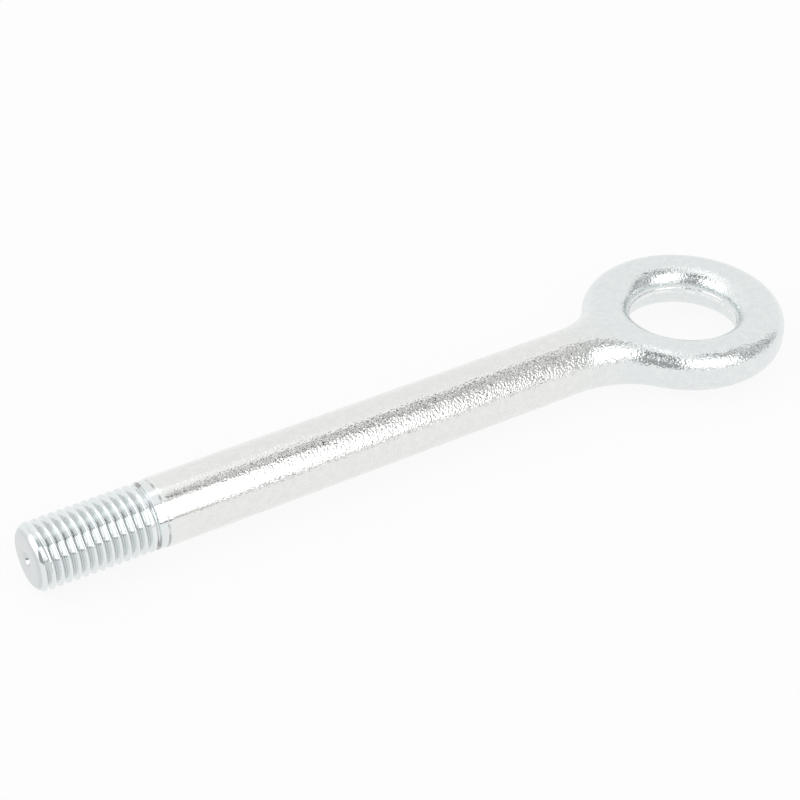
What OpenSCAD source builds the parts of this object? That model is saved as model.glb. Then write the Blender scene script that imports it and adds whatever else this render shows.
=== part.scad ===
// Screw-in tow eye: a forged eye, a round shank and a threaded end, all one piece of steel.
// The shank lies along X with its threaded tip at the low end, and the eye's hole points up Z.

/* [Eye] */
// Outside diameter of the eye
eye_od = 51.5; // [46:0.5:64]
// Diameter of the punched land in the middle of the hole
eye_id = 27.0; // [20:0.2:31]
// Thickness of the eye at the top of its crown
eye_t = 11.4; // [9:0.2:14]
// Height of the punched land
land_h = 2.3; // [1:0.1:4]
// Width of the rounded lead-in on each side of it
lead_w = 5.0; // [3:0.1:7]
// Width of the rounding around the outside of the eye
edge_w = 4.6; // [2:0.1:6]
// Height of the straight band left around the outside
band_h = 1.9; // [0.6:0.1:4]
// Height of the band where it fades out along the neck
flash_h = 0.5; // [0.3:0.1:1.2]

/* [Shank] */
// Diameter of the shank
shank_d = 16.4; // [14:0.2:22]
// Distance from the tip to the middle of the eye
tip_to_eye = 180.5; // [120:0.5:320]
// Radius of the fillets between shank and eye, seen from above
neck_r = 19.0; // [10:0.5:40]

/* [Threaded end] */
// Major diameter of the thread
thread_d = 16.0; // [12:0.5:20]
// Distance from the tip to the end of the thread
thread_end = 27.6; // [18:0.2:60]
// Width of the rounding between the tip's flat face and the thread, measured across the tip
nose_w = 1.6; // [0.6:0.1:3]
// Length of that rounding along the thread
nose_l = 2.7; // [1:0.1:5]
// Depth of the groove where the thread runs out
runout_depth = 0.6; // [0.2:0.1:1.5]
// Width of the run-out groove
runout_w = 1.0; // [0.6:0.1:3]
// Length of the plain collar behind the groove
collar_l = 1.8; // [0.8:0.1:6]
// Length of the taper from the collar up to the shank
step_l = 0.8; // [0.3:0.1:3]

/* [Centre drilling] */
// Mouth diameter of the centre drilling in the tip
centre_d = 3.2; // [1.5:0.1:6]
// Diameter of the pilot hole at its bottom
pilot_d = 1.2; // [0.6:0.1:1.4]
// Depth of the pilot hole below the cone
pilot_l = 1.0; // [0.5:0.1:3]

/* [Hidden] */
$fn = 96;

zinc = [0.82, 0.85, 0.86];
countersink_angle = 60;
ring_step = 6;        // degrees between rays around the eye
fillet_steps = 8;     // rays across each neck fillet
neck_steps = 16;      // rays across the shank's width
lead_steps = 6;       // rings from the land to the crown
edge_steps = 8;       // rings from the crown to the outline
land_stock = 0.4;     // metal left inside the land, which the punch then cuts away
land_edge = 0.15;     // flat left around the land before the lead-in rises
lap = 0.12;           // how far the shank stands above the head where they meet
lap_l = 1.5;          // length of the shank's tapered end, which sinks into the head
stub_l = 2;           // how far the head runs back inside the shank
cut_past = 1;         // how far a cutter runs past the surface it cuts

ring_r = eye_od/2;
hole_r = eye_id/2;
half_t = eye_t/2;
shank_r = shank_d/2;
total_l = tip_to_eye + ring_r;
eye_x = total_l/2 - ring_r;
tip_x = eye_x - tip_to_eye;
axis_z = max(shank_r, half_t, thread_d/2);

// The lead-in is a quarter of an ellipse that leaves the crown level and ends upright beside the land.
land_r = hole_r + land_edge;
crown_r = land_r + lead_w;
lead_depth = half_t - land_h/2;

// Each neck fillet touches the shank's side and the eye's outline.
neck_w = shank_r - lap;
fillet_y = neck_w + neck_r;
neck_l = sqrt(pow(ring_r + neck_r, 2) - fillet_y*fillet_y);
end_l = neck_l + stub_l;
touch_angle = atan2(fillet_y, neck_l);
shank_angle = atan2(neck_w, neck_l);
end_angle = atan2(neck_w, end_l);

function smooth(u) = let(c = min(max(u, 0), 1)) c*c*(3 - 2*c);

// A size that changes smoothly from the shank's half width at the neck to its value at the eye.
function along(x, at_eye) = neck_w + (at_eye - neck_w)*smooth((x + neck_l)/(neck_l - hole_r));

// Distance from the eye's middle to its outline, at an angle from the shank's side.
function outline_r(a) = let(b = abs(a))
    b >= touch_angle ? ring_r
    : b <= end_angle ? end_l/cos(b)
    : b <= shank_angle ? neck_w/sin(b)
    : (ring_r + neck_r)*cos(touch_angle - b)
      - sqrt(neck_r*neck_r - pow((ring_r + neck_r)*sin(touch_angle - b), 2));

// How far a point lies inside the outline.
function inside(d, a) = abs(a) >= touch_angle ? ring_r - d
    : norm([max(neck_l - d*cos(a), 0), d*abs(sin(a)) - fillet_y]) - neck_r;

// How far an elliptic rounding has dropped, at a distance before its level end.
function drop(before, w, depth) = depth*(1 - sqrt(1 - pow(min(max(before/w, 0), 1), 2)));

// Height of the forged surface above the middle plane: the crown less its outer and inner roundings.
function height(d, a) = let(x = -d*cos(a), w = along(x, edge_w))
    max(flash_h/2, along(x, half_t) - drop(crown_r - d, lead_w, lead_depth)
        - drop(w - inside(d, a), w, along(x, half_t - band_h/2)));

// Rays from the eye's middle: across the shank, across each fillet, then around the eye.
neck_rays = [for (i = [0:neck_steps]) atan2(neck_w*sin(180*i/neck_steps - 90), end_l)];
fillet_rays = [for (i = [0:fillet_steps]) shank_angle + (touch_angle - shank_angle)*i/fillet_steps];
ring_n = ceil((360 - 2*touch_angle)/ring_step);
ring_rays = [for (i = [1:ring_n - 1]) touch_angle + (360 - 2*touch_angle)*i/ring_n];
rays = concat(neck_rays, fillet_rays, ring_rays,
              [for (i = [fillet_steps:-1:0]) 360 - fillet_rays[i]]);

// Turns an angle into the range from -180 to 180.
function folded(a) = a > 180 ? a - 360 : a;

// Distances along one ray: from inside the land up to the crown, then out to the outline.
function stations(a) = concat(
    [hole_r - land_stock],
    [for (i = [0:lead_steps - 1]) crown_r - lead_w*sin(90*(1 - i/lead_steps))],
    [for (i = [0:edge_steps]) crown_r + (outline_r(a) - crown_r)*sin(90*i/edge_steps)]);

// Two triangles that fill a four-sided patch.
function patch(a, b, c, d) = [[a, b, c], [a, c, d]];

module forged_head() {
    m = lead_steps + edge_steps + 2;
    n = len(rays);
    upper = [for (r = rays) let(a = folded(r)) for (d = stations(a)) [-d*cos(a), d*sin(a), height(d, a)]];
    lower = [for (p = upper) [p[0], p[1], -p[2]]];
    function top(j, k) = (j % n)*m + k;
    function low(j, k) = n*m + top(j, k);
    skins = [for (j = [0:n - 1]) for (k = [0:m - 2])
        each concat(patch(top(j, k), top(j, k + 1), top(j + 1, k + 1), top(j + 1, k)),
                    patch(low(j, k), low(j + 1, k), low(j + 1, k + 1), low(j, k + 1)))];
    flash_band = [for (j = [0:n - 1])
        each patch(top(j, m - 1), low(j, m - 1), low(j + 1, m - 1), top(j + 1, m - 1))];
    web_wall = [for (j = [0:n - 1])
        each patch(top(j, 0), top(j + 1, 0), low(j + 1, 0), low(j, 0))];
    polyhedron(points = concat(upper, lower), faces = concat(skins, flash_band, web_wall));
}

// The eye's forging with its hole punched through.
module eye() {
    difference() {
        forged_head();
        cylinder(r = hole_r, h = 3*axis_z, center = true);
    }
}

// Half section of the turned end, radius across and length up from the tip.
module turned_section() {
    thread_r = thread_d/2;
    nose_r = (nose_w*nose_w + nose_l*nose_l)/(2*nose_w);
    collar_z = thread_end + runout_w;
    shank_z = collar_z + collar_l + step_l;
    neck_z = tip_to_eye - neck_l;
    difference() {
        union() {
            intersection() {
                translate([thread_r - nose_r, nose_l]) circle(r = nose_r);
                square([thread_r, nose_l]);
            }
            square([thread_r - nose_w, nose_l]);
            translate([0, nose_l]) square([thread_r, thread_end - nose_l]);
            square([thread_r - runout_depth, shank_z]);
            translate([0, collar_z]) square([thread_r, collar_l]);
            polygon([[0, collar_z + collar_l], [thread_r, collar_z + collar_l],
                     [shank_r, shank_z], [shank_r, neck_z],
                     [shank_r - 3*lap, neck_z + lap_l], [0, neck_z + lap_l]]);
        }
        centre_drilling();
    }
}

// Half section of the centre drilling: a cone with a pilot hole below it.
module centre_drilling() {
    cone_l = (centre_d - pilot_d)/2/tan(countersink_angle/2);
    polygon([[0, -cut_past], [centre_d/2, -cut_past], [centre_d/2, 0], [pilot_d/2, cone_l],
             [pilot_d/2, cone_l + pilot_l], [0, cone_l + pilot_l + pilot_d/4]]);
}

// Shank, collar, thread blank and nose, turned about one axis.
module bar() {
    rotate([0, 90, 0]) rotate_extrude() turned_section();
}

module tow_eye() {
    color(zinc) translate([0, 0, axis_z]) {
        translate([eye_x, 0, 0]) eye();
        translate([tip_x, 0, 0]) bar();
    }
}

tow_eye();
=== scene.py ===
# %% [markdown]
# # A screw-in tow eye, forged and zinc plated
# A tow eye is one steel forging: a thick ring on a long round shank, with a rolled thread on the
# other end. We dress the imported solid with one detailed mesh, give it a bright zinc finish, and
# light it like a small product shot.
#
# Everything is in metres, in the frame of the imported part: X runs from the threaded tip to the eye.

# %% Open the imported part
import math

import bpy
from mathutils import Matrix, Vector, noise


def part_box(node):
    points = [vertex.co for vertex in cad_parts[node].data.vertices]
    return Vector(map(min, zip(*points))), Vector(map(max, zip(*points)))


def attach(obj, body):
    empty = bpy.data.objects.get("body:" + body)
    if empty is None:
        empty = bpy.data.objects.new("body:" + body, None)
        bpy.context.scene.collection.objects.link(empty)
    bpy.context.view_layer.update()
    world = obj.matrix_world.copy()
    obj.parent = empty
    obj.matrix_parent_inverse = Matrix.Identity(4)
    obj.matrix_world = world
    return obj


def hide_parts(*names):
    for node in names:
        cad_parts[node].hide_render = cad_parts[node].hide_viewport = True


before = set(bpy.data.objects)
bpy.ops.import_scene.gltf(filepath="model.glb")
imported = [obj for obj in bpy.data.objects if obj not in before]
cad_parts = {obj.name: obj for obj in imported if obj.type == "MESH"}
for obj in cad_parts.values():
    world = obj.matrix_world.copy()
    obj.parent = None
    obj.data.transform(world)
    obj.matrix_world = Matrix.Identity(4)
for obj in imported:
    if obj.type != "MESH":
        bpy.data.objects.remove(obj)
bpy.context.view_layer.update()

MM = 0.001
low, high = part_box("tow_eye")
for thing in bpy.context.selected_objects:
    thing.select_set(False)
print("packed part, mm:", [round((h - l)/MM, 2) for l, h in zip(low, high)])

# %% [markdown]
# ## The sizes we work from
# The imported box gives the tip, the ring and the height of the axis. The rest are the drawing's
# sizes, so that the skin lies where the solid does.

# %% Main sizes
RING_R = 25.75*MM
HOLE_R = 13.5*MM
HALF_T = 5.7*MM
LAND_H, LEAD_W = 2.3*MM, 5.0*MM
LEAD_DEPTH = HALF_T - LAND_H/2
EDGE_W, BAND_H = 4.6*MM, 1.9*MM
SHANK_R = 8.2*MM
NECK_R = 19.0*MM
TIP_X = low.x
EYE_X = high.x - RING_R
AXIS_Z = low.z + SHANK_R
LAND_EDGE = 0.15*MM
CROWN_R = HOLE_R + LAND_EDGE + LEAD_W
FILLET_Y = SHANK_R + NECK_R
NECK_L = math.sqrt((RING_R + NECK_R)**2 - FILLET_Y**2)
NECK_X = EYE_X - NECK_L
STEPS = 128
CLOSE, SEAM = 0.001*MM, 0.004*MM
print("neck starts at x =", round(NECK_X/MM, 2), "mm")


# %% [markdown]
# ## Drawing and turning outlines
# A lathe shape is easiest as a half outline spun around its axis. The outline starts as a plane
# that is merged to a single point, and each extrude adds the next point of the drawing. Then the
# spin operator sweeps it round, and the first and last copies are merged.

# %% Helpers for outlines
def edit(obj):
    bpy.ops.object.select_all(action="DESELECT")
    obj.select_set(True)
    bpy.context.view_layer.objects.active = obj
    bpy.ops.object.mode_set(mode="EDIT")
    bpy.ops.mesh.select_mode(type="VERT")


def leave_edit():
    bpy.ops.object.mode_set(mode="OBJECT")


def draw_outline(name, points):
    """A chain of edges through points, drawn by extruding one corner again and again."""
    bpy.ops.mesh.primitive_plane_add(size=MM, location=points[0])
    obj = bpy.context.object
    obj.name = name
    bpy.ops.object.transform_apply(location=True, rotation=True, scale=True)
    edit(obj)
    bpy.ops.mesh.select_all(action="SELECT")
    bpy.ops.mesh.merge(type="CENTER")
    for a, b in zip(points, points[1:]):
        bpy.ops.mesh.extrude_region_move(TRANSFORM_OT_translate={"value": Vector(b) - Vector(a)})
    leave_edit()
    return obj


def turn(obj):
    """Spins an outline once around the shank's axis."""
    edit(obj)
    bpy.ops.mesh.select_all(action="SELECT")
    bpy.ops.mesh.spin(steps=STEPS, angle=2*math.pi, center=(0, 0, AXIS_Z), axis=(1, 0, 0))
    bpy.ops.mesh.select_all(action="SELECT")
    bpy.ops.mesh.remove_doubles(threshold=0.002*MM)
    bpy.ops.mesh.normals_make_consistent(inside=False)
    leave_edit()


def at(x, r):
    """A point of the half outline: x along from the tip, r out from the axis, on the +Y side."""
    return (TIP_X + x*MM, r*MM, AXIS_Z)


# %% [markdown]
# ## The threaded end
# The end is turned first: a face with a centre drilling, a rounded nose, the thread blank, a
# run-out groove, and a plain collar. Each corner gets a small round, because a perfectly sharp
# edge never catches the light.

# %% Turn the blank of the threaded end
def corner(x, r, back, on, steps=3):
    """Points that round a corner at (x, r), from the back point to the on point."""
    out = []
    for i in range(steps + 1):
        t = i/steps
        out.append(((1 - t)**2*back[0] + 2*t*(1 - t)*x + t*t*on[0],
                    (1 - t)**2*back[1] + 2*t*(1 - t)*r + t*t*on[1]))
    return out


# All in millimetres, as the helpers take them: radii first, then places along the axis.
THREAD_OUT, FACE_OUT, GROOVE_OUT, SHANK_OUT = 8.0, 6.4, 7.4, 8.2
NOSE_END, THREAD_END, COLLAR_X, COLLAR_END, SHANK_X = 2.7, 27.6, 28.6, 30.4, 31.2
CENTRE_OUT, PILOT_OUT, CENTRE_DEEP = 1.75, 0.6, 2.75
FACE_ROUND = 0.22
NOSE_POINTS = 8
nose_in = THREAD_OUT - FACE_OUT
nose_r = (nose_in**2 + NOSE_END**2)/(2*nose_in)
outline = [(CENTRE_DEEP + 0.35, 0.0), (CENTRE_DEEP, PILOT_OUT), (CENTRE_DEEP - 1, PILOT_OUT)]
outline += corner(0.0, CENTRE_OUT, (0.3, CENTRE_OUT - 0.2), (0.0, CENTRE_OUT + 0.3))
outline += [(0.0, 3.4), (0.0, 5.0)]
outline += corner(0.0, FACE_OUT, (0.0, FACE_OUT - 0.3), (FACE_ROUND, FACE_OUT + 0.22))
for i in range(1, NOSE_POINTS + 1):
    x = FACE_ROUND + (NOSE_END - FACE_ROUND)*i/NOSE_POINTS
    outline.append((x, THREAD_OUT - nose_r + math.sqrt(nose_r**2 - (NOSE_END - x)**2)))
outline += corner(THREAD_END, THREAD_OUT,
                  (THREAD_END - 0.15, THREAD_OUT), (THREAD_END + 0.12, THREAD_OUT - 0.14))
outline += corner(THREAD_END + 0.45, GROOVE_OUT,
                  (THREAD_END + 0.36, GROOVE_OUT + 0.12), (THREAD_END + 0.6, GROOVE_OUT))
outline += corner(COLLAR_X - 0.12, GROOVE_OUT,
                  (COLLAR_X - 0.3, GROOVE_OUT), (COLLAR_X - 0.08, GROOVE_OUT + 0.12))
outline += corner(COLLAR_X, THREAD_OUT,
                  (COLLAR_X - 0.02, THREAD_OUT - 0.18), (COLLAR_X + 0.2, THREAD_OUT))
outline += [(COLLAR_END, THREAD_OUT), (COLLAR_END, 0.0)]
blank = draw_outline("threaded_end", [at(x, r) for x, r in outline])
turn(blank)
print("threaded end:", len(blank.data.polygons), "faces")

# %% [markdown]
# ## The thread
# The thread is M16 x 2 and right-handed, 13 turns long. We model the groove between its crests as
# a solid. Its section is the 60 degree V with a rounded root and a narrow shoulder at each crest.
# The Screw modifier sweeps it, both ends fade outwards, and a Boolean cuts it from the blank.

# %% Sweep the groove and cut it
PITCH, TURNS, SWEPT_TURNS = 2.0, 13.2, 14
GROOVE_START = 1.08
FADE_IN, FADE_OUT, FADE_LIFT = 0.5, 0.3, 1.3*MM
root = [(0.0, 6.787), (0.145, 6.826), (0.251, 6.932)]
shoulder = [(0.835, 7.944), (0.88, 7.982), (0.96, 8.011)]
past_blank = [(0.96, 8.35)]
half_section = root + shoulder + past_blank
section = [(-u, r) for u, r in reversed(half_section[1:])] + half_section
groove = draw_outline("groove", [at(GROOVE_START + u, r) for u, r in section + section[:1]])
edit(groove)
bpy.ops.mesh.select_all(action="SELECT")
bpy.ops.mesh.remove_doubles(threshold=0.001*MM)
leave_edit()
for vertex in groove.data.vertices:
    vertex.co.z -= AXIS_Z
screw = groove.modifiers.new("turns", "SCREW")
screw.axis = "X"
screw.angle = 2*math.pi
screw.screw_offset = PITCH*MM
screw.iterations = SWEPT_TURNS
screw.steps = screw.render_steps = STEPS
screw.use_merge_vertices = False
bpy.ops.object.select_all(action="DESELECT")
groove.select_set(True)
bpy.context.view_layer.objects.active = groove
bpy.ops.object.modifier_apply(modifier=screw.name)


def turn_of(co):
    """How many turns along the helix a point of the groove lies."""
    x = (co.x - TIP_X)/MM - GROOVE_START
    phase = math.atan2(co.z, co.y)/(2*math.pi)
    return phase + round(x/PITCH - phase)


for vertex in groove.data.vertices:
    t = turn_of(vertex.co)
    lift = min(max(0.0, 1 - t/FADE_IN, (t - TURNS)/FADE_OUT), 1.0)
    radius = math.hypot(vertex.co.y, vertex.co.z)
    grown = (radius + FADE_LIFT*lift)/radius
    vertex.co.y *= grown
    vertex.co.z *= grown
    vertex.co.z += AXIS_Z
edit(groove)
bpy.ops.mesh.select_all(action="DESELECT")
bpy.ops.mesh.select_mode(type="EDGE")
bpy.ops.mesh.select_non_manifold(extend=False)
bpy.ops.mesh.fill()
bpy.ops.mesh.select_all(action="SELECT")
bpy.ops.mesh.normals_make_consistent(inside=False)
leave_edit()
print("groove:", len(groove.data.polygons), "faces")


def cut(body, cutter):
    """Cuts one solid from another and removes the cutter."""
    boolean = body.modifiers.new("cut", "BOOLEAN")
    boolean.operation = "DIFFERENCE"
    boolean.object = cutter
    boolean.solver = "EXACT"
    bpy.ops.object.select_all(action="DESELECT")
    body.select_set(True)
    bpy.context.view_layer.objects.active = body
    bpy.ops.object.modifier_apply(modifier=boolean.name)
    bpy.data.objects.remove(cutter)


cut(blank, groove)
print("threaded end with its groove:", len(blank.data.polygons), "faces")

# %% [markdown]
# ## The shank
# The shank is a forged bar, not a turned one: it is round, but its skin waves by a few hundredths
# of a millimetre. We spin a straight line with many points, so that there are vertices to wave.

# %% Turn the shank
RINGS = 190
straight_from = SHANK_X + 0.6
neck_at = (NECK_X - TIP_X)/MM
shank_line = [(COLLAR_END, THREAD_OUT)]
shank_line += corner(SHANK_X, SHANK_OUT, (COLLAR_END + 0.3, THREAD_OUT + 0.04), (straight_from, SHANK_OUT))
for i in range(1, RINGS + 1):
    shank_line.append((straight_from + (neck_at - straight_from)*i/RINGS, SHANK_OUT))
shank = draw_outline("shank", [at(x, r) for x, r in shank_line])
turn(shank)
print("shank:", len(shank.data.polygons), "faces")

# %% [markdown]
# ## The forged head
# Between the dies the bar is squeezed into a ring with a full round outside, a crowned top and a
# soft lead-in down to the punched hole. No primitive has that shape, so the head is a grid that is
# laid out in rays and rings around the eye and pulled to the depth of the die, point by point.

# %% The depth of the die
TOUCH = math.atan2(FILLET_Y, NECK_L)
NARROW = math.atan2(SHANK_R, NECK_L)


def along_neck(x, at_eye):
    """A size that changes smoothly from the shank's radius at the neck to its value at the eye."""
    u = min(max((x + NECK_L)/(NECK_L - HOLE_R), 0), 1)
    return SHANK_R + (at_eye - SHANK_R)*u*u*(3 - 2*u)


def outline_at(angle):
    """Distance from the eye's middle to its outline, at an angle from the shank's side."""
    b = abs(angle)
    if b >= TOUCH:
        return RING_R
    if b <= NARROW:
        return NECK_L/math.cos(b)
    far = RING_R + NECK_R
    return far*math.cos(TOUCH - b) - math.sqrt(NECK_R**2 - (far*math.sin(TOUCH - b))**2)


def rounding(before, width, drop):
    """How far an elliptic rounding has dropped, at a distance before its level end."""
    u = min(max(before/width, 0), 1)
    return drop*(1 - math.sqrt(1 - u*u))


def depth(d, angle):
    """Height of the die's surface above the middle plane."""
    if abs(angle) >= TOUCH:
        inside = RING_R - d
    else:
        inside = math.hypot(NECK_L - d*math.cos(angle), d*abs(math.sin(angle)) - FILLET_Y) - NECK_R
    x = -d*math.cos(angle)
    width = along_neck(x, EDGE_W)
    return (along_neck(x, HALF_T) - rounding(CROWN_R - d, LEAD_W, LEAD_DEPTH)
            - rounding(width - inside, width, along_neck(x, HALF_T - BAND_H/2)))


# %% Rays and rings of the grid
half = STEPS//2
rays = [math.atan2(SHANK_R*math.sin(math.pi*i/half - math.pi/2), NECK_L) for i in range(half + 1)]
FILLET_RAYS, RING_RAYS = 30, 170
fillet = [NARROW + (TOUCH - NARROW)*i/FILLET_RAYS for i in range(1, FILLET_RAYS + 1)]
rays += fillet
rays += [TOUCH + (2*math.pi - 2*TOUCH)*i/RING_RAYS for i in range(1, RING_RAYS)]
rays += [2*math.pi - a for a in reversed(fillet)]
LEAD_RINGS, EDGE_RINGS = 20, 56


def stations(angle):
    out = [CROWN_R - LEAD_W*math.sin(math.pi/2*(1 - i/LEAD_RINGS)) for i in range(LEAD_RINGS)]
    span = outline_at(angle) - CROWN_R
    return out + [CROWN_R + span*math.sin(math.pi/2*i/EDGE_RINGS) for i in range(EDGE_RINGS + 1)]


ring_count = LEAD_RINGS + EDGE_RINGS + 1


def die_half(name, side):
    """One half of the head's skin: a grid whose rows are rays and whose columns are rings."""
    bpy.ops.object.select_all(action="DESELECT")
    bpy.ops.mesh.primitive_grid_add(x_subdivisions=ring_count - 1, y_subdivisions=len(rays),
                                    size=1, location=(0, 0, 0))
    obj = bpy.context.object
    obj.name = name
    for index, vertex in enumerate(obj.data.vertices):
        row, column = divmod(index, ring_count)
        angle = rays[row % len(rays)]
        folded = angle - 2*math.pi if angle > math.pi else angle
        d = stations(folded)[column]
        vertex.co = (EYE_X - d*math.cos(folded), d*math.sin(folded), AXIS_Z + side*depth(d, folded))
    return obj


upper = die_half("head_top", 1)
lower = die_half("head_under", -1)
print("head:", len(upper.data.polygons)*2, "faces in", len(rays), "rays")

# %% [markdown]
# ## The punched hole and the outer band
# The web in the middle is punched out last, which leaves a straight land, and the flash around the
# outside is trimmed, which leaves a narrow straight band. Both are strips between the two halves of
# the die, so each is a grid wrapped around the eye.

# %% Strips between the halves
LAND_ROWS, BAND_ROWS = 14, 4


def strip(name, rows, distance, top):
    """A band around the eye, from the height top down to minus top, at a distance from the middle."""
    bpy.ops.object.select_all(action="DESELECT")
    bpy.ops.mesh.primitive_grid_add(x_subdivisions=rows, y_subdivisions=len(rays),
                                    size=1, location=(0, 0, 0))
    obj = bpy.context.object
    obj.name = name
    for index, vertex in enumerate(obj.data.vertices):
        row, column = divmod(index, rows + 1)
        angle = rays[row % len(rays)]
        folded = angle - 2*math.pi if angle > math.pi else angle
        t = 1 - 2*column/rows
        d = distance(folded, abs(t) > 0.99)
        vertex.co = (EYE_X - d*math.cos(folded), d*math.sin(folded), AXIS_Z + t*top(folded))
    return obj


land = strip("land", LAND_ROWS, lambda a, rim: HOLE_R + LAND_EDGE*rim, lambda a: HALF_T - LEAD_DEPTH)
band = strip("band", BAND_ROWS, lambda a, rim: outline_at(a), lambda a: max(depth(outline_at(a), a), 0))


def delete_faces(obj, chosen):
    """Deletes the faces that a test picks, and leaves the object in edit mode."""
    edit(obj)
    bpy.ops.mesh.select_mode(type="FACE")
    bpy.ops.mesh.select_all(action="DESELECT")
    leave_edit()
    for face in obj.data.polygons:
        face.select = chosen(face)
    print("faces deleted from", obj.name + ":", sum(f.select for f in obj.data.polygons))
    bpy.ops.object.mode_set(mode="EDIT")
    bpy.ops.mesh.delete(type="FACE")


# The flash band ends where the shank joins the head.
delete_faces(band, lambda face: face.center.x < NECK_X + CLOSE)
leave_edit()

# %% Join the forging into one skin
bpy.ops.object.select_all(action="DESELECT")
for thing in (blank, shank, upper, lower, land, band):
    thing.select_set(True)
bpy.context.view_layer.objects.active = shank
bpy.ops.object.join()
eye = shank
eye.name = "forged_tow_eye"

# The turned end's inner wall goes, so that its skin can join the shank's.
delete_faces(eye, lambda face: abs(face.center.x - TIP_X - COLLAR_END*MM) < CLOSE)
bpy.ops.mesh.select_mode(type="VERT")
bpy.ops.mesh.select_all(action="SELECT")
bpy.ops.mesh.remove_doubles(threshold=SEAM)
bpy.ops.mesh.normals_make_consistent(inside=False)
bpy.ops.mesh.select_all(action="DESELECT")
bpy.ops.mesh.select_non_manifold(extend=False)
leave_edit()
print("open places left:", sum(v.select for v in eye.data.vertices), "vertices")
print("forging:", len(eye.data.polygons), "faces")

# %% [markdown]
# ## The skin of the forging
# Scale and shot leave shallow dents that grow towards the eye, where the steel was hottest. They
# are real waves in the mesh, a few hundredths of a millimetre deep, and always inwards, so that
# the piece stays inside its solid. The thread and the collar are machined, so they stay true.

# %% Wave the skin
FADE_L, GROW_FROM, GROW_L = 8, 60, 90
WIDE_WAVE, WIDE_DEEP = 11, 0.05
FINE_WAVE, FINE_DEEP = 2.6, 0.03
SMOOTH_BELOW = 22


def skin_depth(co):
    """How far the skin is pressed in at a point, in metres."""
    along = (co.x - TIP_X)/MM
    if along < straight_from:
        return 0.0
    fade = min((along - straight_from)/FADE_L, 1)
    grow = min(max((along - GROW_FROM)/GROW_L, 0), 1)
    p = co/MM
    wide = 0.5 + 0.5*noise.noise(p/WIDE_WAVE)
    fine = 0.5 + 0.5*noise.noise(p/FINE_WAVE + Vector((7, 3, 1)))
    return fade*MM*(WIDE_DEEP*wide*(0.5 + grow) + FINE_DEEP*fine*(0.3 + grow))


normals = [v.normal.copy() for v in eye.data.vertices]
for vertex, normal in zip(eye.data.vertices, normals):
    vertex.co -= normal*skin_depth(vertex.co)
edit(eye)
bpy.ops.mesh.select_all(action="SELECT")
leave_edit()
bpy.ops.object.shade_smooth_by_angle(angle=math.radians(SMOOTH_BELOW))
eye_low = [min(v.co[i] for v in eye.data.vertices) for i in range(3)]
eye_high = [max(v.co[i] for v in eye.data.vertices) for i in range(3)]
print("skin box, mm:", [round((h - l)/MM, 2) for l, h in zip(eye_low, eye_high)])

# %% [markdown]
# ## Bright zinc plate
# Zinc plate is a metal mirror over a rough forging. A Principled shader with full metallic gives
# the mirror, and everything else comes from where a point lies. The turned end is a little bluer
# than the shank, and the head lies between them. Fine grain covers the shank and coarser grain
# grows towards the eye. Painted shade darkens the thread's roots, the run-out groove and the
# corner at the collar. The crests are painted lighter, partly as worn plate and partly as a
# painted highlight, and the plate has worn bright in dots around the land. All patterns read
# Object coordinates, so they stay put on the piece.

# %% Start the zinc and its node helpers
PLAIN_ROUGHNESS = 0.17
zinc = bpy.data.materials.new("zinc_plate")
zinc.use_nodes = True
tree = zinc.node_tree
nodes, links = tree.nodes, tree.links
shader = nodes["Principled BSDF"]
shader.inputs["Metallic"].default_value = 1.0
shader.inputs["Roughness"].default_value = PLAIN_ROUGHNESS
place = nodes.new("ShaderNodeTexCoord")
split = nodes.new("ShaderNodeSeparateXYZ")
links.new(place.outputs["Object"], split.inputs[0])


def feed(socket, value):
    """Sets a socket to a number or a colour, or links another node's output to it."""
    if isinstance(value, bpy.types.NodeSocket):
        links.new(value, socket)
    elif isinstance(value, tuple):
        socket.default_value = (*value, 1)
    else:
        socket.default_value = value


def ramp(value, low_in, high_in, low_out, high_out):
    """Runs from low_out to high_out while a value runs from low_in to high_in."""
    node = nodes.new("ShaderNodeMapRange")
    settings = {"Value": value, "From Min": low_in, "From Max": high_in,
                "To Min": low_out, "To Max": high_out}
    for name, setting in settings.items():
        feed(node.inputs[name], setting)
    return node.outputs["Result"]


def between(value, low_in, high_in, edge):
    """1 between two values and 0 outside them, with soft edges."""
    return times(ramp(value, low_in - edge, low_in, 0.0, 1.0),
                 ramp(value, high_in, high_in + edge, 1.0, 0.0))


def combine(operation, first, second):
    node = nodes.new("ShaderNodeMath")
    node.operation = operation
    feed(node.inputs[0], first)
    feed(node.inputs[1], second)
    return node.outputs[0]


def times(first, second):
    return combine("MULTIPLY", first, second)


def length_of(first, second):
    """The length of the long side of a right triangle."""
    pair = nodes.new("ShaderNodeCombineXYZ")
    links.new(first, pair.inputs[0])
    links.new(second, pair.inputs[1])
    node = nodes.new("ShaderNodeVectorMath")
    node.operation = "LENGTH"
    links.new(pair.outputs[0], node.inputs[0])
    return node.outputs["Value"]


def grain(scale, detail):
    """Noise between 0 and 1, with so many grains to the metre."""
    node = nodes.new("ShaderNodeTexNoise")
    links.new(place.outputs["Object"], node.inputs["Vector"])
    node.inputs["Scale"].default_value = scale
    node.inputs["Detail"].default_value = detail
    return node.outputs["Fac"]


def blend_colours(factor, first, second, way="MIX"):
    node = nodes.new("ShaderNodeMix")
    node.data_type = "RGBA"
    node.blend_type = way
    feed(node.inputs["Factor"], factor)
    feed(node.inputs["A"], first)
    feed(node.inputs["B"], second)
    return node.outputs["Result"]


def bump(height, distance, strength, below=None):
    node = nodes.new("ShaderNodeBump")
    links.new(height, node.inputs["Height"])
    node.inputs["Distance"].default_value = distance
    feed(node.inputs["Strength"], strength)
    if below:
        links.new(below, node.inputs["Normal"])
    return node.outputs["Normal"]


def from_tip(distance):
    """The X of a place, from its distance to the tip in millimetres."""
    return TIP_X + distance*MM


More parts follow.
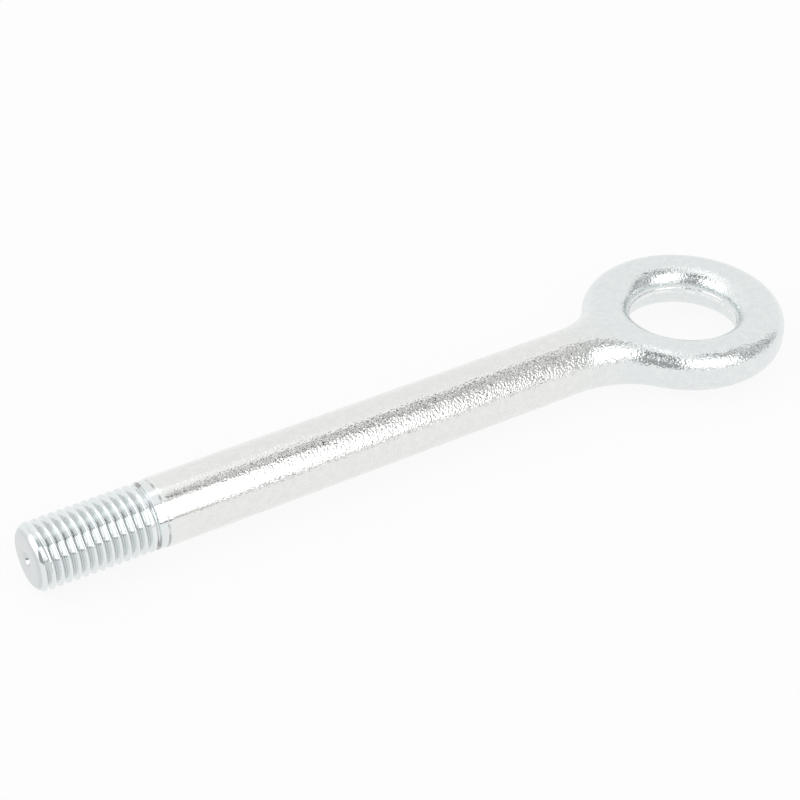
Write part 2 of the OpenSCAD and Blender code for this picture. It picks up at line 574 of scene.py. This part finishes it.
# %% Where a point lies on the piece
x_along = split.outputs["X"]
height = combine("SUBTRACT", split.outputs["Z"], AXIS_Z)
from_bar = length_of(split.outputs["Y"], height)
from_hole = length_of(combine("SUBTRACT", x_along, EYE_X), split.outputs["Y"])
machined = ramp(x_along, from_tip(29), from_tip(33), 1.0, 0.0)
on_thread = ramp(x_along, from_tip(THREAD_END), from_tip(THREAD_END + 0.2), 1.0, 0.0)
head_share = ramp(x_along, NECK_X - 6*MM, NECK_X + 12*MM, 0.0, 1.0)

# %% The colour of the plate
SHANK_TINT = (0.83, 0.835, 0.812)
HEAD_TINT = (0.79, 0.82, 0.817)
TURNED_TINT = (0.765, 0.80, 0.812)
LIGHT_SPECK, DARK_SPECK = (1.04, 1.04, 1.035), (0.95, 0.955, 0.965)
forged = blend_colours(head_share, SHANK_TINT, HEAD_TINT)
tint = blend_colours(machined, forged, TURNED_TINT)
specks = ramp(grain(2000.0, 1.0), 0.3, 0.7, 0.0, 1.0)
clouds = ramp(grain(500.0, 2.0), 0.35, 0.65, 0.0, 1.0)
mottle = combine("ADD", times(specks, 0.5), times(clouds, 0.5))
mottle_share = times(mottle, ramp(x_along, from_tip(29), from_tip(40), 0.25, 1.0))
speckled = blend_colours(mottle_share, LIGHT_SPECK, DARK_SPECK)
plate = blend_colours(1.0, tint, speckled, "MULTIPLY")

# %% Wear, painted highlight and painted shade
# Bare steel where the plate has worn, also used as a painted highlight on the thread's crests.
BARE_STEEL_AND_HIGHLIGHT = (0.93, 0.94, 0.935)
# Painted shade: this dark colour is laid into the thread's roots, the run-out groove and the collar's
# corner.
PAINTED_SHADE_COLOUR = (0.24, 0.225, 0.21)
# The crests blend towards bare steel: partly worn plate, partly a painted highlight along each crest.
crest_wear_and_highlight = times(on_thread, ramp(from_bar, 7.94*MM, 7.99*MM, 0.0, 0.5))
on_land = times(between(height, -0.2*MM, 0.35*MM, 0.15*MM),
                ramp(from_hole, 13.9*MM, 14.2*MM, 1.0, 0.0))
land_dots = times(ramp(grain(900.0, 0.0), 0.4, 0.55, 0.0, 0.9), head_share)
wear_and_highlight = combine("MAXIMUM", crest_wear_and_highlight, times(on_land, land_dots))
# Painted shade in the thread's roots, darker towards the bottom of the groove.
root_painted_shade = times(on_thread, ramp(from_bar, 6.9*MM, 7.2*MM, 0.25, 0.0))
# Painted shade in the run-out groove, broken up by noise.
groove_painted_shade = times(between(x_along, from_tip(28.1), from_tip(28.7), 0.1*MM),
                     ramp(grain(260.0, 1.0), 0.45, 0.62, 0.05, 0.75))
# Painted shade in the corner where the collar meets the shank, broken up by noise.
collar_painted_shade = times(between(x_along, from_tip(30.5), from_tip(30.9), 0.12*MM),
                     ramp(grain(420.0, 1.0), 0.42, 0.65, 0.0, 0.6))
painted_shade = combine("MAXIMUM", root_painted_shade, combine("MAXIMUM", groove_painted_shade, collar_painted_shade))
worn_and_highlight = blend_colours(wear_and_highlight, plate, BARE_STEEL_AND_HIGHLIGHT)
# The painted shade goes over the worn plate and the painted crest highlight.
feed(shader.inputs["Base Color"], blend_colours(painted_shade, worn_and_highlight, PAINTED_SHADE_COLOUR))

# %% Shine and grain
rough = ramp(x_along, from_tip(45), from_tip(80), 0.1, 0.07)
feed(shader.inputs["Roughness"], combine("ADD", rough, times(specks, 0.04)))
fine_strength = ramp(x_along, from_tip(30), from_tip(55), 0.1, 1.0)
coarse_strength = ramp(x_along, from_tip(60), from_tip(135), 0.03, 0.9)
fine_bump = bump(grain(2100.0, 0.0), 0.06*MM, fine_strength)
feed(shader.inputs["Normal"], bump(grain(1600.0, 1.0), 0.1*MM, coarse_strength, fine_bump))
eye.data.materials.clear()
eye.data.materials.append(zinc)
for face in eye.data.polygons:
    face.material_index = 0
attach(eye, "root")
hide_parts("tow_eye")
print("zinc:", len(nodes), "nodes")

# %% [markdown]
# ## The floor and the light
# The floor is pale and plain. Part of its white comes from the colour that camera and mirror rays
# see, and the rest is lit, so that it keeps the soft shadow of the piece.

# %% Floor and world
def seen_by_eye_or_mirror(tree):
    """1 on camera, glossy and transmission rays, 0 on the rays that light things."""
    path = tree.nodes.new("ShaderNodeLightPath")
    total = None
    for name in ("Is Camera Ray", "Is Glossy Ray", "Is Transmission Ray"):
        if total is None:
            total = path.outputs[name]
            continue
        add = tree.nodes.new("ShaderNodeMath")
        add.operation = "MAXIMUM"
        tree.links.new(total, add.inputs[0])
        tree.links.new(path.outputs[name], add.inputs[1])
        total = add.outputs[0]
    return total


ROOM_LIGHT = 0.9
FLOOR_WHITE, FLOOR_GLOW_SHARE, FLOOR_GAP, FLOOR_SIZE = 0.85, 0.88, 0.05*MM, 6
world = bpy.data.worlds.new("studio")
bpy.context.scene.world = world
world.use_nodes = True
air = world.node_tree
for node in list(air.nodes):
    air.nodes.remove(node)
air_out = air.nodes.new("ShaderNodeOutputWorld")
air_mix = air.nodes.new("ShaderNodeMixShader")
lit = air.nodes.new("ShaderNodeBackground")
seen = air.nodes.new("ShaderNodeBackground")
lit.inputs["Color"].default_value = (1, 1, 1, 1)
lit.inputs["Strength"].default_value = ROOM_LIGHT
seen.inputs["Color"].default_value = (1, 1, 1, 1)
seen.inputs["Strength"].default_value = 1.0
air.links.new(seen_by_eye_or_mirror(air), air_mix.inputs["Fac"])
air.links.new(lit.outputs[0], air_mix.inputs[1])
air.links.new(seen.outputs[0], air_mix.inputs[2])
air.links.new(air_mix.outputs[0], air_out.inputs["Surface"])

bpy.ops.object.select_all(action="DESELECT")
bpy.ops.mesh.primitive_plane_add(size=FLOOR_SIZE, location=(0, 0, low.z - FLOOR_GAP))
floor = bpy.context.object
floor.name = "floor"
pale = bpy.data.materials.new("pale_floor")
pale.use_nodes = True
paper = pale.node_tree
paper_shader = paper.nodes["Principled BSDF"]
paper_shader.inputs["Base Color"].default_value = (*[FLOOR_WHITE]*3, 1)
paper_shader.inputs["Roughness"].default_value = 0.9
paper_shader.inputs["Specular IOR Level"].default_value = 0.0
glow = paper.nodes.new("ShaderNodeEmission")
glow.inputs["Color"].default_value = (1, 1, 1, 1)
glow.inputs["Strength"].default_value = 1.0
share = paper.nodes.new("ShaderNodeMath")
share.operation = "MULTIPLY"
share.inputs[1].default_value = FLOOR_GLOW_SHARE
paper_mix = paper.nodes.new("ShaderNodeMixShader")
paper.links.new(seen_by_eye_or_mirror(paper), share.inputs[0])
paper.links.new(share.outputs[0], paper_mix.inputs["Fac"])
paper.links.new(paper_shader.outputs[0], paper_mix.inputs[1])
paper.links.new(glow.outputs[0], paper_mix.inputs[2])
paper.links.new(paper_mix.outputs[0], paper.nodes["Material Output"].inputs["Surface"])
floor.data.materials.append(pale)


# %% [markdown]
# ## Cards around the piece
# Metal shows only what is around it, so the look is made by cards that the camera doesn't see:
# softboxes where the shank flashes white, grey walls beside them, and dark flags and slats for the
# edges and the speckled dark band. Each card is given by four directions from the piece, and each
# direction is a turn around Z and a height in degrees.

# %% A card and how bright it is
CARD_FAR, SLAT_FAR = 1.3, 1.0


def card(name, corners, strength, far=CARD_FAR):
    """A flat card that fills the view between four directions from the piece."""
    bpy.ops.object.select_all(action="DESELECT")
    bpy.ops.mesh.primitive_plane_add(size=1, location=(0, 0, 0))
    obj = bpy.context.object
    obj.name = name
    first, second, third, fourth = corners
    for vertex, (turn_z, up) in zip(obj.data.vertices, (first, second, fourth, third)):
        a, b = math.radians(turn_z), math.radians(up)
        vertex.co = Vector((math.cos(a)*math.cos(b), math.sin(a)*math.cos(b), math.sin(b)))*far
    paint = bpy.data.materials.new(name)
    paint.use_nodes = True
    side = paint.node_tree
    side.nodes.remove(side.nodes["Principled BSDF"])
    light = side.nodes.new("ShaderNodeEmission")
    light.inputs["Color"].default_value = (1, 1, 1, 1)
    light.inputs["Strength"].default_value = strength
    side.links.new(light.outputs[0], side.nodes["Material Output"].inputs["Surface"])
    obj.data.materials.append(paint)
    obj.visible_camera = False
    return obj


# %% Softboxes
card("softbox_main", [(-121, 21), (-60, 9), (-52, 56), (-121, 59)], 1.7)
card("softbox_low", [(-93, 6.5), (-76, 6.5), (-76, 15), (-93, 17)], 1.9)
card("softbox_left", [(150, 10), (196, 6), (198, 50), (126, 60)], 1.6)
card("softbox_top", [(37, 68), (90, 62), (150, 68), (37, 88)], 1.3)

# %% Dark edges of the main softbox
card("line_below", [(-96, 2), (-76, 3), (-76, 7), (-96, 6)], 0.12)
card("line_below_right", [(-76, 3), (-57, 4), (-57, 8), (-76, 7)], 0.5)
card("line_above", [(-97, 63), (-76, 61), (-76, 64), (-97, 66)], 0.08)
card("line_above_right", [(-76, 61), (-57, 58), (-51, 61), (-76, 64)], 0.45)
card("frame_edge", [(-59, 9), (-55, 9), (-46.5, 56), (-51, 56)], 0.1)
card("line_low_left", [(-121, 16.5), (-96, 16), (-96, 19.5), (-121, 20.5)], 0.15)

# %% Flags, walls and slats
for turn_z in (-49, -29, -8):
    card("band_slat", [(turn_z, 52), (turn_z + 9, 50), (turn_z + 9, 74), (turn_z, 74)], 0.03, SLAT_FAR)
for turn_z in (-44, -22):
    card("wall_slat", [(turn_z, 4), (turn_z + 6, 4), (turn_z + 6, 44), (turn_z, 44)], 0.2, SLAT_FAR)
card("band_grey", [(-51, 58), (-22, 47), (16, 57.5), (12, 77)], 1.1)
card("flag_camera_side", [(-182, 52), (-122, 34), (-122, 72), (-182, 72)], 0.33)
card("flag_camera_low", [(-160, 3), (-122, 3), (-122, 33), (-160, 33)], 0.4)
card("wall_right", [(-54, 2), (-2, 2), (-12, 46), (-50.5, 57)], 0.75)
card("wall_back", [(-1.5, 2), (80, 2), (80, 60), (-1.5, 50)], 0.95)
card("flag_back", [(98, 28), (108, 28), (108, 38), (98, 38)], 0.8)

# %% [markdown]
# ## The camera
# The camera was placed by fitting a pinhole view to the photo's outline: it looks down on the
# piece from the threaded side, with a long lens.

# %% Place the camera
AZ, EL, ROLL = (math.radians(v) for v in (-32.775, 36.215, 1.051))
back = Vector((math.sin(AZ)*math.cos(EL), -math.cos(AZ)*math.cos(EL), math.sin(EL)))
right = Vector((math.cos(AZ), math.sin(AZ), 0))
up = back.cross(right)
right_r = right*math.cos(ROLL) + up*math.sin(ROLL)
up_r = up*math.cos(ROLL) - right*math.sin(ROLL)
FIT_UNIT = 8.2*MM
FIT_DISTANCE, FIT_LENGTH = 59.483, 22.023
FIT_X, FIT_Y, FIT_FOCAL = -0.548, -0.873, 2068.732
PHOTO_WIDTH, FILM_WIDTH = 800, 36
view_data = bpy.data.cameras.new("view")
view = bpy.data.objects.new("view", view_data)
bpy.context.scene.collection.objects.link(view)
middle = Vector((TIP_X + FIT_LENGTH/2*FIT_UNIT, 0, AXIS_Z))
spot = middle + (back*FIT_DISTANCE - right_r*FIT_X - up_r*FIT_Y)*FIT_UNIT
turned = Matrix((right_r, up_r, back)).transposed().to_4x4()
turned.translation = spot
view.matrix_world = turned
view_data.sensor_width = FILM_WIDTH
view_data.lens = FIT_FOCAL*FILM_WIDTH/PHOTO_WIDTH
view_data.clip_start = 0.01
bpy.context.scene.camera = view
bpy.context.scene.view_settings.view_transform = "Standard"
print("camera at, mm:", [round(v/MM, 1) for v in spot])
